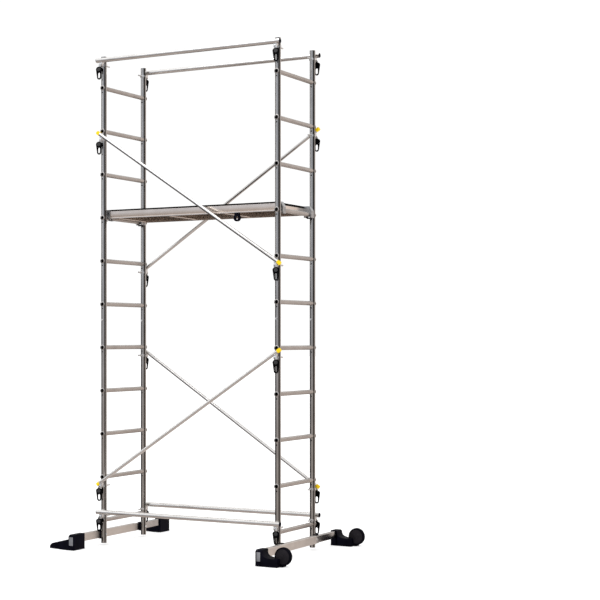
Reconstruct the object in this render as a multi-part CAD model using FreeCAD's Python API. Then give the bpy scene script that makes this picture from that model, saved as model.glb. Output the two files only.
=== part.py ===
import FreeCAD, Part
import math
import os

os.makedirs("parts", exist_ok=True)
V = FreeCAD.Vector

# ---------------------------------------------------------------- driving sizes (mm)
LENGTH = 1280.0          # left ladder centre to right ladder centre
WIDTH = 465.0            # front stile centre to rear stile centre
PITCH = 280.0            # rung to rung
RUNGS_LOWER = 5          # rungs in a lower frame
RUNGS_UPPER = 6          # rungs in an upper frame
STILE_BASE = 15.0        # stile's lower end above the floor
FIRST_RUNG = 163.0       # lowest rung's axis above the floor
STILE_OVER = 203.0       # stile's end above its frame's top rung
STILE_D = 36.0
STILE_WALL = 2.0
RUNG_D = 28.0
RUNG_FLAT_CUT = 2.5      # a rung is this much less across its two flattened sides
RUNG_WALL = 2.5
FLARE_RIM = 2.5          # rung's flared end past its tube, on the stile's face
FLARE_OUT = 2.0
SMALL_HOLE_D = 9.0       # spare hole under each rung
SMALL_HOLE_DROP = 29.0
SOCKET_DEPTH = 45.0      # reamed top of the upper stile
SOCKET_EXTRA = 0.2
SPIGOT_UP = 40.0
SPIGOT_DOWN = 120.0
SPIGOT_CLEAR = 0.1
SPIGOT_WALL = 3.0
SPLICE_D = 8.0
SPLICE_DROP = 25.0
SPLICE_PROUD = 11.0
SPLICE_HEAD_D = 13.0

RAIL_D = 30.0            # horizontal braces
DIAG_D = 22.0            # diagonal braces
BRACE_WALL = 1.5
BRACE_GAP = 1.0          # between a brace tube and the stile
RAIL_OVER = 31.0         # rail's end past the stile's centre
DIAG_OVER = 36.0         # diagonal's end past the stile's centre, along the tube
BRACE_ABOVE_PIN = 28.0
GUARD_PIN_UP = 148.0     # guardrail pin above the top rung
BASE_PIN_UP = 26.0       # base rail pin above the bottom rung
DIAG_PIN_DROP = 57.0     # diagonal's pin below its rung
PLUG_LIP = 3.0
PLUG_IN = 20.0
CAP_LEN = 24.0
CAP_WALL = 1.5

PIN_D = 10.0
RUN_FIT = 0.05           # radial clearance of pins, axles and pivots
PIN_TIP = 67.0           # pin's tip past the stile's centre, inner side
PIN_TIP_CONE = 6.0
BRACKET_OUT = 38.0       # bracket's outer face from the stile's centre
BAND_T = 3.5
BAND_H = 14.0
TANG_T = 4.0
HANDLE_T = 10.0
HANDLE_AT = 42.0         # handle's middle plane from the stile's centre
HANDLE_SHIFT = 9.0       # handle's centre, outwards of the pin
HANDLE_TOP = 13.0        # below the pin's axis
HANDLE_H = 84.0
HANDLE_W = 46.0
HANDLE_TOP_R = 12.0
HANDLE_LOW_R = 14.0
SLOT_W = 18.0
SLOT_H = 36.0
SLOT_WALL = 9.0

BEAM_H = 50.0            # base beam, outer tube
BEAM_W = 30.0
BEAM_WALL = 2.0
BEAM_UNDER = 46.0        # beam's underside above the floor
BEAM_GAP = 3.0           # stile's face to beam
BEAM_SHORT = 44.5        # outer tube's rear end, in front of the rear stile's centre
EXT_CLEAR = 0.5          # between outer tube and extension
EXT_WALL = 2.5
EXT_SHORT = 27.5         # extension's inner end, behind the front stile's centre
BRACKET_LEN = 30.0
BRACKET_T = 4.0
BRACKET_LIP = 14.0
LIP_CLEAR = 0.4
BOLT_D = 8.0
BOLT_HEAD_AF = 13.0
BOLT_HEAD_H = 5.5
STOP_HEAD_D = 18.0
STOP_HEAD_H = 5.0

FOOT_AHEAD = 312.5       # front foot's face in front of the front stile's centre
FOOT_BEHIND = 351.5      # rear foot's face behind the rear stile's centre
FOOT_LEN = 118.0
WHEEL_FOOT_LEN = 82.0    # the wheeled feet are shorter
FOOT_OVER = 3.0          # foot's top over the beam
FOOT_SLOPE = 11.0        # end face's top below the foot's top
FOOT_WALL = 7.0
FOOT_END_WALL = 12.0
TOE_OUT = 192.0          # wedge's tip outwards of the beam's axis
PANEL_W = 30.0
PANEL_H = 58.0
PANEL_Z = 57.0
PANEL_T = 1.0
RIB_W = 3.0
RIB_DEEP = 2.0
WHEEL_D = 108.0
WHEEL_W = 30.0
WHEEL_ARM = 63.0         # wheel's rim outwards of the foot's block
WHEEL_LIFT = 8.0         # wheel's rim above the floor
WHEEL_IN = 38.0          # wheel's front face behind the foot's front face
WHEEL_SIDE = 2.0
AXLE_D = 12.0

DECK_RUNG = 8
DECK_INSET = 31.0        # deck's end inside the ladder's centre
DECK_SIDE = 6.5          # between the deck and a stile's side
DECK_TOP = 52.0          # above the rung's axis
BOARD_T = 10.0
DECK_RAIL_H = 46.0
DECK_RAIL_W = 25.0
DECK_RAIL_WALL = 2.5
DECK_BEAD = 1.2
HOOK_W = 36.0
HOOK_REACH = 22.0        # hook's outer face past the rung's axis
HOOK_DROP = 21.0
LUG_DROP = 20.0
LATCH_T = 8.0
LATCH_PIVOT_X = 24.0     # pivot inside the rung's axis
LATCH_PIVOT_Z = 14.0     # pivot below the rung's axis
LATCH_PIN_D = 6.0
CLIP_X = 334.0
CLIP_R = 23.0
CLIP_BORE = 12.0
CLIP_DROP = 31.0         # clip's centre below the rail
CLIP_LEN = 16.0
CLIP_MOUTH = 7.0

# ---------------------------------------------------------------- worked-out places
SR = STILE_D / 2
HX = LENGTH / 2
HY = WIDTH / 2
BEAM_X = HX + SR + BEAM_GAP + BEAM_W / 2
BEAM_Z = BEAM_UNDER + BEAM_H / 2
BEAM_END = HY - BEAM_SHORT
EXT_IN = HY - EXT_SHORT
RUNG_FLATS = RUNG_D - RUNG_FLAT_CUT
FLARE_D = RUNG_D + 2 * FLARE_RIM
FOOT_FRONT = HY + FOOT_AHEAD
FOOT_REAR = HY + FOOT_BEHIND
FOOT_H = BEAM_Z + BEAM_H / 2 + FOOT_OVER
FOOT_FACE_H = FOOT_H - FOOT_SLOPE
TIP_REACH = BEAM_X + TOE_OUT
WHEEL_X = BEAM_X + BEAM_W / 2 + FOOT_WALL + WHEEL_ARM + WHEEL_D / 2
WHEEL_Z = WHEEL_D / 2 + WHEEL_LIFT
DECK_W = WIDTH - STILE_D - 2 * DECK_SIDE
EXT_W = BEAM_W - 2 * BEAM_WALL - 2 * EXT_CLEAR
EXT_H = BEAM_H - 2 * BEAM_WALL - 2 * EXT_CLEAR
JOINT_Z = FIRST_RUNG + (RUNGS_LOWER - 1) * PITCH + STILE_OVER
TOP_RUNG = RUNGS_LOWER + RUNGS_UPPER
STILE_TOP = FIRST_RUNG + (TOP_RUNG - 1) * PITCH + STILE_OVER
SHIFT = V(-(WHEEL_X + WHEEL_D / 2 - TIP_REACH) / 2, -(FOOT_REAR - FOOT_FRONT) / 2, 0)


def rung_z(n):
    return FIRST_RUNG + (n - 1) * PITCH


# ---------------------------------------------------------------- helpers
def box(x0, x1, y0, y1, z0, z1):
    return Part.makeBox(abs(x1 - x0), abs(y1 - y0), abs(z1 - z0), V(min(x0, x1), min(y0, y1), min(z0, z1)))


def rod(p, d, r, h):
    return Part.makeCylinder(r, h, V(*p), V(*d))


def pipe(p, d, r, wall, h):
    return rod(p, d, r, h).cut(rod(p, d, r - wall, h))


def square_pipe(x, z, w, h, wall, y0, y1):
    outer = box(x - w / 2, x + w / 2, y0, y1, z - h / 2, z + h / 2)
    side = [e for e in outer.Edges if abs(e.tangentAt(e.FirstParameter).y) > 0.9]
    outer = outer.makeFillet(wall + 1.0, side)
    w2, h2 = w / 2 - wall, h / 2 - wall
    return outer.cut(box(x - w2, x + w2, y0 - 1, y1 + 1, z - h2, z + h2))


def plate_xz(points, y0, y1):
    """Polygon in the XZ plane, pushed along Y."""
    ring = [V(x, min(y0, y1), z) for x, z in points]
    face = Part.Face(Part.makePolygon(ring + ring[:1]))
    return face.extrude(V(0, abs(y1 - y0), 0))


def belt_xz(circles, y0, y1):
    """Outline round a row of circles (x, z, r), anticlockwise, pushed along Y."""
    n = len(circles)
    edges, out_pts, in_pts = [], [], []
    for i in range(n):
        x1, z1, r1 = circles[i]
        x2, z2, r2 = circles[(i + 1) % n]
        d = math.hypot(x2 - x1, z2 - z1)
        a = math.atan2(z2 - z1, x2 - x1) - math.acos((r1 - r2) / d)
        u = (math.cos(a), math.sin(a))
        out_pts.append((x1 + r1 * u[0], z1 + r1 * u[1], a))
        in_pts.append((x2 + r2 * u[0], z2 + r2 * u[1], a))
    for i in range(n):
        x, z, r = circles[i]
        a0, a1 = in_pts[i - 1][2], out_pts[i][2]
        while a1 < a0:
            a1 += 2 * math.pi
        am = (a0 + a1) / 2
        p0 = V(x + r * math.cos(a0), y0, z + r * math.sin(a0))
        pm = V(x + r * math.cos(am), y0, z + r * math.sin(am))
        p1 = V(x + r * math.cos(a1), y0, z + r * math.sin(a1))
        edges.append(Part.Arc(p0, pm, p1).toShape())
        q = in_pts[i]
        edges.append(Part.makeLine(p1, V(q[0], y0, q[1])))
    face = Part.Face(Part.Wire(edges))
    return face.extrude(V(0, y1 - y0, 0))


def save(name, solids):
    out = []
    for s in solids:
        s = s.removeSplitter() if hasattr(s, "removeSplitter") else s
        out += s.Solids
    for s in out:
        s.translate(SHIFT)
    shape = out[0] if len(out) == 1 else Part.makeCompound(out)
    shape.exportStep("parts/%s.step" % name)


SIDES = (("left", -1), ("right", 1))
ENDS = (("front", -1), ("rear", 1))

# ---------------------------------------------------------------- braces: where each end sits
# name, front/rear sign, tube diameter, (left rung, right rung), pin height above that rung
BRACES = (
    ("front_guardrail", -1, RAIL_D, (TOP_RUNG, TOP_RUNG), GUARD_PIN_UP),
    ("rear_guardrail", 1, RAIL_D, (TOP_RUNG, TOP_RUNG), GUARD_PIN_UP),
    ("front_base_rail", -1, RAIL_D, (1, 1), BASE_PIN_UP),
    ("rear_base_rail", 1, RAIL_D, (1, 1), BASE_PIN_UP),
    ("front_upper_diagonal", -1, DIAG_D, (10, 7), -DIAG_PIN_DROP),
    ("front_lower_diagonal", -1, DIAG_D, (2, 5), -DIAG_PIN_DROP),
    ("rear_upper_diagonal", 1, DIAG_D, (7, 10), -DIAG_PIN_DROP),
    ("rear_lower_diagonal", 1, DIAG_D, (5, 2), -DIAG_PIN_DROP),
)


def pin_places():
    for name, sy, dia, rungs, up in BRACES:
        for (side, sx), rung in zip(SIDES, rungs):
            yield name, side, sx, sy, dia, rung_z(rung) + up


# ---------------------------------------------------------------- ladder frames
def rung_blank(z, grow=0.0):
    """Flat-sided rung, solid, as long as the two stiles' outer faces."""
    half = HY + SR + FLARE_OUT
    r = RUNG_D / 2 + grow
    return rod((0, -half, z), (0, 1, 0), r, 2 * half)


def rung(x, z):
    half = HY + SR + FLARE_OUT
    flats = box(-RUNG_FLATS / 2, RUNG_FLATS / 2, -half, half, z - RUNG_D, z + RUNG_D)
    body = rung_blank(z).common(flats)
    for s in (-1, 1):
        collar = rod((0, s * (half - 12.0), z), (0, s, 0), FLARE_D / 2, 12.0)
        body = body.fuse(collar.cut(rod((0, s * HY, z - 50), (0, 0, 1), SR, 100)))
    body = body.cut(rod((0, -half - 1, z), (0, 1, 0), RUNG_D / 2 - RUNG_WALL, 2 * half + 2))
    body.translate(V(x, 0, 0))
    return body


def rung_hole(x, z):
    flats = box(-RUNG_FLATS / 2, RUNG_FLATS / 2, -HY - 60, HY + 60, z - RUNG_D, z + RUNG_D)
    hole = rung_blank(z).common(flats)
    hole.translate(V(x, 0, 0))
    return hole


def stile(sx, sy, z0, z1, rungs, socket):
    x, y = sx * HX, sy * HY
    tube = pipe((x, y, z0), (0, 0, 1), SR, STILE_WALL, z1 - z0)
    if socket:
        tube = tube.cut(rod((x, y, z1 - SOCKET_DEPTH), (0, 0, 1), SR - STILE_WALL + SOCKET_EXTRA, SOCKET_DEPTH))
    cuts = []
    for n in rungs:
        cuts.append(rung_hole(x, rung_z(n)))
        cuts.append(rod((x, y - 30, rung_z(n) - SMALL_HOLE_DROP), (0, 1, 0), SMALL_HOLE_D / 2, 60))
    for name, side, px, py, dia, z in pin_places():
        if px == sx and py == sy and z0 < z < z1:
            cuts.append(rod((x, y - 30, z), (0, 1, 0), PIN_D / 2 + RUN_FIT, 60))
    if z0 < JOINT_Z - SPLICE_DROP < z1:
        cuts.append(rod((x, y - 30, JOINT_Z - SPLICE_DROP), (0, 1, 0), SPLICE_D / 2, 60))
    if z0 < BEAM_Z < z1:
        cuts.append(rod((x - 30, y, BEAM_Z), (1, 0, 0), BOLT_D / 2, 60))
    for c in cuts:
        tube = tube.cut(c)
    return tube


LOWER = range(1, RUNGS_LOWER + 1)
UPPER = range(RUNGS_LOWER + 1, TOP_RUNG + 1)
spigots, splices = [], []
for side, sx in SIDES:
    save(side + "_lower_stiles", [stile(sx, sy, STILE_BASE, JOINT_Z, LOWER, False) for e, sy in ENDS])
    save(side + "_upper_stiles", [stile(sx, sy, JOINT_Z, STILE_TOP, UPPER, True) for e, sy in ENDS])
    save(side + "_lower_rungs", [rung(sx * HX, rung_z(n)) for n in LOWER])
    save(side + "_upper_rungs", [rung(sx * HX, rung_z(n)) for n in UPPER])
    for e, sy in ENDS:
        x, y, z = sx * HX, sy * HY, JOINT_Z - SPLICE_DROP
        sr = SR - STILE_WALL - SPIGOT_CLEAR
        sp = pipe((x, y, JOINT_Z - SPIGOT_DOWN), (0, 0, 1), sr, SPIGOT_WALL, SPIGOT_DOWN + SPIGOT_UP)
        spigots.append(sp.cut(rod((x, y - 30, z), (0, 1, 0), SPLICE_D / 2, 60)))
        half = SR + SPLICE_PROUD
        bolt = rod((x, y - half, z), (0, 1, 0), SPLICE_D / 2, 2 * half)
        for s in (-1, 1):
            head = rod((x, y + s * (SR - 3.0), z), (0, s, 0), SPLICE_HEAD_D / 2, 8.0)
            bolt = bolt.fuse(head.cut(rod((x, y, z - 20), (0, 0, 1), SR, 40)))
        splices.append(bolt)
save("joint_spigots", spigots)
save("splice_bolts", splices)


# ---------------------------------------------------------------- braces, their brackets, caps and pins
def brace_ends(sy, dia, rungs, up):
    """Axis points of a brace above its two pins."""
    y = sy * (HY + SR + BRACE_GAP + dia / 2)
    return [V(sx * HX, y, rung_z(n) + up + BRACE_ABOVE_PIN) for (s, sx), n in zip(SIDES, rungs)]


def bracket(sx, sy, z, dia, tube, caps):
    x, y = sx * HX, sy * HY
    w = 11.0 if dia > DIAG_D else 9.0
    top = BRACE_ABOVE_PIN - dia / 4
    shape = ((-w, top), (-w, 3), (-w + 3, -7), (w - 3, -7), (w, 3), (w, top))
    body = plate_xz([(x + a, z + b) for a, b in shape], y, y + sy * BRACKET_OUT)
    body = body.fuse(rod((x, y, z - BAND_H / 2), (0, 0, 1), SR + BAND_T, BAND_H))
    body = body.cut(rod((x, y, z - 60), (0, 0, 1), SR, 120))
    body = body.cut(tube)
    for c in caps:
        body = body.cut(c)
    return body.cut(rod((x, y - 60, z), (0, 1, 0), PIN_D / 2 + RUN_FIT, 120))


def lock_pin(sx, sy, z):
    """Steel pin with its flat tang, and the moulded pull handle on the tang."""
    x, y = sx * HX, sy * HY
    out = y + sy * (HANDLE_AT + TANG_T / 2)
    inner = y + sy * (HANDLE_AT - TANG_T / 2)
    tip = y - sy * PIN_TIP
    shaft = rod((x, inner, z), (0, -sy, 0), PIN_D / 2, abs(inner - tip) - PIN_TIP_CONE)
    cone = Part.makeCone(PIN_D / 2, PIN_D / 4, PIN_TIP_CONE, V(x, tip + sy * PIN_TIP_CONE, z), V(0, -sy, 0))
    hx = x + sx * HANDLE_SHIFT
    low = HANDLE_TOP + 17.0
    left, right = min(x - 8, hx - 8), max(x + 8, hx + 8)
    tang = [(x - 8, z + 8), (x + 8, z + 8), (right, z - 8), (hx + 8, z - low), (hx - 8, z - low), (left, z - 8)]
    tang = plate_xz(tang, inner, out)
    pin = shaft.fuse(cone).fuse(tang)
    zt = z - HANDLE_TOP
    ux, ur = HANDLE_W / 2 - HANDLE_TOP_R, HANDLE_TOP_R
    ring = ((hx - ux, zt - ur, ur), (hx, zt - HANDLE_H + HANDLE_LOW_R, HANDLE_LOW_R), (hx + ux, zt - ur, ur))
    y0, y1 = y + sy * (HANDLE_AT - HANDLE_T / 2), y + sy * (HANDLE_AT + HANDLE_T / 2)
    grip = belt_xz(ring, min(y0, y1), max(y0, y1))
    r = SLOT_W / 2
    zs = zt - HANDLE_H + SLOT_WALL + r
    slot = belt_xz(((hx, zs, r), (hx, zs + SLOT_H - 2 * r, r)), min(y0, y1), max(y0, y1))
    return pin, grip.cut(slot).cut(tang)


brackets, plugs, caps = [], [], []
for name, sy, dia, rungs, up in BRACES:
    a, b = brace_ends(sy, dia, rungs, up)
    d = (b - a).normalize()
    over = RAIL_OVER if dia > DIAG_D else DIAG_OVER
    length = (b - a).Length + 2 * over
    p = a - d * over
    solid = Part.makeCylinder(dia / 2, length, p, d)
    save(name, [solid.cut(Part.makeCylinder(dia / 2 - BRACE_WALL, length, p, d))])
    ends = ((p, d), (p + d * length, d * -1))
    covers = []
    for q, inward in ends:
        if dia > DIAG_D:
            lip = Part.makeCylinder(dia / 2, PLUG_LIP, q - inward * PLUG_LIP, inward)
            plugs.append(lip.fuse(Part.makeCylinder(dia / 2 - BRACE_WALL, PLUG_IN, q, inward)))
            continue
        cover = Part.makeCylinder(dia / 2 + CAP_WALL, CAP_LEN, q - inward * PLUG_LIP, inward)
        covers.append(cover)
        bore = Part.makeCylinder(dia / 2, CAP_LEN, q, inward)
        caps.append(cover.cut(bore))
    for (side, sx), n in zip(SIDES, rungs):
        z = rung_z(n) + up
        brackets.append(bracket(sx, sy, z, dia, solid, covers))
        save("%s_pin_%s" % (name, side), list(lock_pin(sx, sy, z)))
save("brace_brackets", brackets)
save("rail_end_plugs", plugs)
save("diagonal_end_caps", caps)

# ---------------------------------------------------------------- base beams
beam_brackets, beam_bolts = [], []
for side, sx in SIDES:
    x = sx * BEAM_X
    front_in = -FOOT_FRONT + FOOT_END_WALL
    beam = square_pipe(x, BEAM_Z, BEAM_W, BEAM_H, BEAM_WALL, front_in, BEAM_END)
    beam = beam.cut(rod((sx * HX, -HY, BEAM_Z), (sx, 0, 0), BOLT_D / 2, BEAM_X - HX))
    save(side + "_beam", [beam])
    ext = square_pipe(x, BEAM_Z, EXT_W, EXT_H, EXT_WALL, -EXT_IN,
                      FOOT_REAR - FOOT_END_WALL - (FOOT_LEN - WHEEL_FOOT_LEN if sx > 0 else 0.0))
    face = x + sx * EXT_W / 2
    yb = BEAM_END + STOP_HEAD_D / 2 + 0.3
    shank = rod((face, yb, BEAM_Z), (-sx, 0, 0), BOLT_D / 2, 12)
    save(side + "_beam_extension", [ext.cut(shank)])
    save(side + "_stop_bolt", [shank.fuse(rod((face, yb, BEAM_Z), (sx, 0, 0), STOP_HEAD_D / 2, STOP_HEAD_H))])
    for e, sy in ENDS:
        y = sy * HY
        w, h, gap = (BEAM_W, BEAM_H, 0.0) if sy < 0 else (EXT_W, EXT_H, LIP_CLEAR)
        inner = x - sx * (w / 2 + gap)
        zt = h / 2 + gap
        lip_x = inner + sx * BRACKET_LIP
        block = box(sx * HX, lip_x, y - BRACKET_LEN / 2, y + BRACKET_LEN / 2,
                    BEAM_Z - zt - BRACKET_T, BEAM_Z + zt + BRACKET_T)
        block = block.common(box(sx * (HX + 6), lip_x, y - 50, y + 50, 0, 300))
        block = block.cut(rod((sx * HX, y, 0), (0, 0, 1), SR, 300))
        block = block.cut(box(inner, inner + sx * 60, y - 50, y + 50, BEAM_Z - zt, BEAM_Z + zt))
        reach = abs(inner - sx * HX) + (BEAM_WALL + 6.0 if sy < 0 else -0.5)
        bolt = rod((sx * (HX - SR), y, BEAM_Z), (sx, 0, 0), BOLT_D / 2, SR + reach)
        flat = sx * (HX - SR)
        hexagon = [V(flat, y + BOLT_HEAD_AF / 1.732 * math.cos(math.radians(60 * i)),
                     BEAM_Z + BOLT_HEAD_AF / 1.732 * math.sin(math.radians(60 * i))) for i in range(7)]
        head = Part.Face(Part.makePolygon(hexagon)).extrude(V(-sx * BOLT_HEAD_H, 0, 0))
        beam_brackets.append(block.cut(bolt))
        beam_bolts.append(bolt.fuse(head))
save("beam_brackets", beam_brackets)
save("beam_bolts", beam_bolts)


# ---------------------------------------------------------------- feet, wheels, axles
def foot(sx, sy):
    y0 = -FOOT_FRONT if sy < 0 else FOOT_REAR - FOOT_LEN
    y1 = y0 + (FOOT_LEN if sx < 0 else WHEEL_FOOT_LEN)
    xi = BEAM_X - BEAM_W / 2 - FOOT_WALL
    xo = BEAM_X + BEAM_W / 2 + FOOT_WALL
    if sx < 0:
        # low wedge that reaches outwards, narrowing to a blunt toe
        side = [(xi, 0), (TIP_REACH, 0), (TIP_REACH, 14), (TIP_REACH - 22, 34), (xo + 14, 62),
                (xo, 70), (xo, FOOT_H - 5), (xo - 5, FOOT_H), (xi, FOOT_H)]
        body = plate_xz([(sx * a, b) for a, b in side], y0, y1)
        ym = (y0 + y1) / 2
        for s in (-1, 1):
            edge = ym + s * FOOT_LEN / 2
            tri = [V(sx * (xo + 20), edge, -1), V(sx * (TIP_REACH + 5), edge, -1), V(sx * (TIP_REACH + 5), ym + s * 26, -1)]
            body = body.cut(Part.Face(Part.makePolygon(tri + tri[:1])).extrude(V(0, 0, FOOT_H + 2)))
    else:
        # scooped arm that carries the wheel
        end = WHEEL_X + 22.0
        side = [(xi, 0), (end - 18, 0), (end, 24), (end, WHEEL_Z + 16), (end - 10, WHEEL_Z + 26),
                (WHEEL_X - 20, WHEEL_Z + 26), (WHEEL_X - 46, 54), (WHEEL_X - 62, 50), (xo + 42, 51),
                (xo + 27, 54), (xo + 14, 59), (xo + 6, 66), (xo + 1, 76), (xo, FOOT_H - 9),
                (xo - 4.5, FOOT_H - 1.5), (xo - 10, FOOT_H), (xi, FOOT_H)]
        body = plate_xz([(sx * a, b) for a, b in side], y0, y1)
        ws, we = y0 + WHEEL_IN - WHEEL_SIDE, y0 + WHEEL_IN + WHEEL_W + WHEEL_SIDE
        body = body.cut(rod((sx * WHEEL_X, ws, WHEEL_Z), (0, 1, 0), WHEEL_D / 2 + 4, we - ws))
        # in front of the wheel only the low end of the arm stays
        body = body.cut(box(sx * (WHEEL_X - 15), sx * (end + 5), y0 - 1, ws, -1, FOOT_H + 5))
        body = body.cut(box(sx * (WHEEL_X - 62), sx * (end + 5), y0 - 1, ws, 50, FOOT_H + 5))
        body = body.cut(rod((sx * WHEEL_X, y0, WHEEL_Z), (0, 1, 0), AXLE_D / 2, FOOT_LEN))
        body = body.cut(box(sx * (WHEEL_X + 4), sx * (end + 5), we, y1 + 1, -1, 12))
    # socket for the beam, open towards the tower
    w, h = (BEAM_W, BEAM_H) if sy < 0 else (EXT_W, EXT_H)
    p0, p1 = (y0 + FOOT_END_WALL, y1 + 1) if sy < 0 else (y0 - 1, y1 - FOOT_END_WALL)
    outer = box(sx * (BEAM_X - w / 2), sx * (BEAM_X + w / 2), p0, p1, BEAM_Z - h / 2, BEAM_Z + h / 2)
    body = body.cut(outer)
    # shoulder that slopes down to the end face, over the solid end wall
    ye, yw = (y0 - 1, y0 + FOOT_END_WALL) if sy < 0 else (y1 + 1, y1 - FOOT_END_WALL)
    slope = [V(sx * (xi - 5), ye, FOOT_FACE_H - 1), V(sx * (xi - 5), yw, FOOT_H), V(sx * (xi - 5), yw, FOOT_H + 9),
             V(sx * (xi - 5), ye, FOOT_H + 9)]
    body = body.cut(Part.Face(Part.makePolygon(slope + slope[:1])).extrude(V(sx * 60, 0, 0)))
    # raised panel on the end face, ribs low on the arm's side
    yf = y0 if sy < 0 else y1
    body = body.fuse(box(sx * (BEAM_X - PANEL_W / 2), sx * (BEAM_X + PANEL_W / 2), yf, yf + sy * PANEL_T,
                         PANEL_Z - PANEL_H / 2, PANEL_Z + PANEL_H / 2))
    if sx > 0:
        for i in range(7):
            rx = sx * (xo + 6 + i * 9.0)
            body = body.cut(box(rx, rx + sx * RIB_W, y0, y0 + RIB_DEEP, 6, 30))
    return body


def wheel(y0):
    x, z, r = WHEEL_X, WHEEL_Z, WHEEL_D / 2
    w = rod((x, y0, z), (0, 1, 0), r, WHEEL_W)
    w = w.makeFillet(4.0, [e for e in w.Edges if e.Length > 300])
    for yy, s in ((y0, 1), (y0 + WHEEL_W, -1)):
        dish = rod((x, yy, z), (0, s, 0), r - 9, 2.0).cut(rod((x, yy, z), (0, s, 0), 13, 2.0))
        w = w.cut(dish)
    return w.cut(rod((x, y0 - 1, z), (0, 1, 0), AXLE_D / 2 + RUN_FIT, WHEEL_W + 2))


for end, sy in ENDS:
    y0 = -FOOT_FRONT if sy < 0 else FOOT_REAR - FOOT_LEN
    for side, sx in SIDES:
        save("%s_%s_foot" % (side, end), [foot(sx, sy)])
    yw = y0 + WHEEL_IN
    save(end + "_wheel", [wheel(yw)])
    head = rod((WHEEL_X, yw - 4.5, WHEEL_Z), (0, 1, 0), AXLE_D / 2 + 4, 4.0)
    axle = rod((WHEEL_X, yw - 4.5, WHEEL_Z), (0, 1, 0), AXLE_D / 2, WHEEL_FOOT_LEN - WHEEL_IN + 4.5)
    save(end + "_axle", [axle.fuse(head)])

# ---------------------------------------------------------------- platform
RZ = rung_z(DECK_RUNG)
DX = HX - DECK_INSET
DY = DECK_W / 2
TOP = RZ + DECK_TOP
R1, R0 = TOP - BOARD_T, TOP - BOARD_T - DECK_RAIL_H
T = DECK_RAIL_WALL
save("deck_board", [box(-DX, DX, -DY, DY, R1, TOP)])
rails = []
for e, sy in ENDS:
    y = sy * DY
    r = box(-DX, DX, y, y - sy * DECK_RAIL_W, R0, R1)
    r = r.cut(box(-DX - 1, DX + 1, y - sy * T, y - sy * (DECK_RAIL_W + 1), R0 + T, R1 - T))
    for z in (R0, R1 - 6):
        r = r.fuse(box(-DX, DX, y, y + sy * DECK_BEAD, z, z + 6))
    rails.append(r)
save("deck_side_rails", rails)
cross = []
for x in (-DX + DECK_RAIL_W / 2, -DX / 3, DX / 3, DX - DECK_RAIL_W / 2):
    cross.append(square_pipe(x, (R0 + R1) / 2, DECK_RAIL_W, DECK_RAIL_H - 2 * T, T, -DY + T, DY - T))
save("deck_cross_members", cross)


def hook(sx, sy):
    """Casting on the deck's end that hooks over the rung; its lug holds the latch."""
    rr = RUNG_D / 2
    low = RZ - HOOK_DROP
    side = [(-DECK_INSET, RZ - LUG_DROP), (-rr - 3, RZ - LUG_DROP), (-rr - 3, RZ), (rr + 0.0, RZ), (rr, low),
            (HOOK_REACH, low), (HOOK_REACH, RZ + 22), (5, TOP), (-DECK_INSET, TOP)]
    y0, y1 = sy * DY, sy * (DY - HOOK_W)
    body = plate_xz([(sx * (HX + a), z) for a, z in side], y0, y1)
    body = body.cut(rod((sx * HX, min(y0, y1) - 1, RZ), (0, 1, 0), rr, HOOK_W + 2))
    ym = (y0 + y1) / 2
    px, pz = sx * (HX - LATCH_PIVOT_X), RZ - LATCH_PIVOT_Z
    body = body.cut(box(sx * (HX - DECK_INSET - 1), sx * (HX - rr + 1), ym - LATCH_T / 2 - 0.5, ym + LATCH_T / 2 + 0.5,
                        RZ - LUG_DROP - 1, RZ - 5))
    return body.cut(rod((px, ym - 15, pz), (0, 1, 0), LATCH_PIN_D / 2 + RUN_FIT, 30))


def latch(sx, sy):
    """Lever that closes the hook's mouth under the rung; its pivot pin is moulded on."""
    ym = sy * (DY - HOOK_W / 2)
    px, pz = sx * (HX - LATCH_PIVOT_X), RZ - LATCH_PIVOT_Z
    arm = [(0, 4), (7, 2), (12, -3), (LATCH_PIVOT_X + 12, -6), (LATCH_PIVOT_X + 12, -13), (8, -13), (0, -5)]
    lever = plate_xz([(px + sx * a, pz + b) for a, b in arm], ym - LATCH_T / 2, ym + LATCH_T / 2)
    lever = lever.fuse(rod((px, ym - LATCH_T / 2, pz), (0, 1, 0), 5.0, LATCH_T))
    return lever.fuse(rod((px, ym - 14, pz), (0, 1, 0), LATCH_PIN_D / 2, 28))


save("deck_hooks", [hook(sx, sy) for e, sy in ENDS for s, sx in SIDES])
for side, sx in SIDES:
    save(side + "_wind_latch", [latch(sx, 1)])
yc = -DY + DECK_RAIL_W / 2
zc = R0 - CLIP_DROP
clip = pipe((CLIP_X, yc - CLIP_LEN / 2, zc), (0, 1, 0), CLIP_R, CLIP_R - CLIP_BORE, CLIP_LEN)
clip = clip.cut(box(CLIP_X - CLIP_MOUTH / 2, CLIP_X + CLIP_MOUTH / 2, yc - 20, yc + 20, zc - CLIP_R - 1, zc))
pad = box(CLIP_X - 16, CLIP_X + 16, yc - CLIP_LEN / 2, yc + CLIP_LEN / 2, R0 - 14, R0)
clip = clip.fuse(pad.cut(rod((CLIP_X, yc - 20, zc), (0, 1, 0), CLIP_R - 1, 40)))
save("deck_clip", [clip])
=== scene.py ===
import bpy, bmesh, math
from mathutils import Matrix, Vector


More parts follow.
